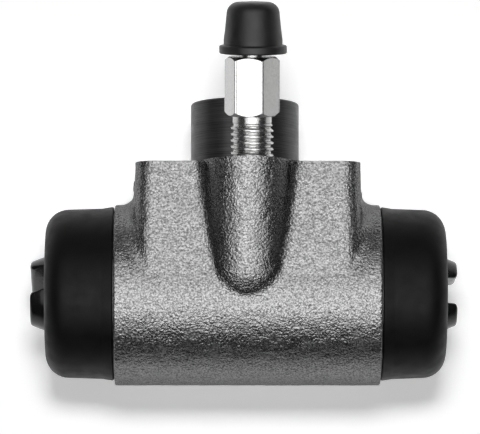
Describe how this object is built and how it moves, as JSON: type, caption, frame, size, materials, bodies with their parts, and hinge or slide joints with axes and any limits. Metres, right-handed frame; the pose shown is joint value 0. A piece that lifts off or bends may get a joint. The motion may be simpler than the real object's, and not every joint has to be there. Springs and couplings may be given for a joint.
{
  "type": "drum brake wheel cylinder",
  "caption": "Cast wheel cylinder with opposed slotted pistons, rubber dust boots, a turned spigot with the pipe port, and an angled bleeder screw under a rubber cap.",
  "frame": {"origin": "where the turned spigot's axis meets the mounting face", "axes": "+X along the bore, +Y out of the mounting face along the spigot, +Z towards the bleeder boss"},
  "size_m": [0.0692, 0.0605, 0.037],
  "materials": {
    "cast_iron": "shot-blasted casting, machined faces",
    "zinc_plated_steel": "bright zinc plate over turned and drawn steel",
    "spring_steel": "drawn wire and pressed sheet",
    "black_piston": "glossy black coating on turned metal",
    "cap_rubber": "satin moulded rubber",
    "boot_rubber": "satin moulded rubber",
    "seal_rubber": "smooth moulded rubber"
  },
  "bodies": {
    "root": {"cylinder_body": "cast_iron", "boot_left": "boot_rubber", "boot_right": "boot_rubber", "return_spring": "spring_steel"},
    "left_cup": {"cup_seal_left": "seal_rubber", "cup_spreader_left": "spring_steel"},
    "left_piston": {"piston_left": "black_piston"},
    "right_cup": {"cup_seal_right": "seal_rubber", "cup_spreader_right": "spring_steel"},
    "right_piston": {"piston_right": "black_piston"},
    "bleeder": {"bleeder_screw": "zinc_plated_steel"},
    "cap": {"bleeder_cap": "cap_rubber"}
  },
  "joints": [
    {"name": "piston_left_slide", "type": "slide", "parent": "root", "child": "left_cup", "axis": [-1, 0, 0], "range_m": [-0.002, 0.005], "deforming": ["boot_left", "return_spring"]},
    {"name": "piston_left_turn", "type": "hinge", "parent": "left_cup", "child": "left_piston", "pos_m": [0.0004, -0.01998, 0], "axis": [-1, 0, 0], "continuous": true},
    {"name": "piston_right_slide", "type": "slide", "parent": "root", "child": "right_cup", "axis": [1, 0, 0], "range_m": [-0.002, 0.005], "deforming": ["boot_right", "return_spring"]},
    {"name": "piston_right_turn", "type": "hinge", "parent": "right_cup", "child": "right_piston", "pos_m": [0.0004, -0.01998, 0], "axis": [1, 0, 0], "continuous": true},
    {"name": "bleeder_turn", "type": "hinge", "parent": "root", "child": "bleeder", "pos_m": [0.00103, 0, 0.01315], "axis": [0, 0.9767, 0.2147], "range_deg": [0, 360]},
    {"name": "cap_pull", "type": "slide", "parent": "bleeder", "child": "cap", "axis": [0, 0.9767, 0.2147], "range_m": [0, 0.012]}
  ]
}
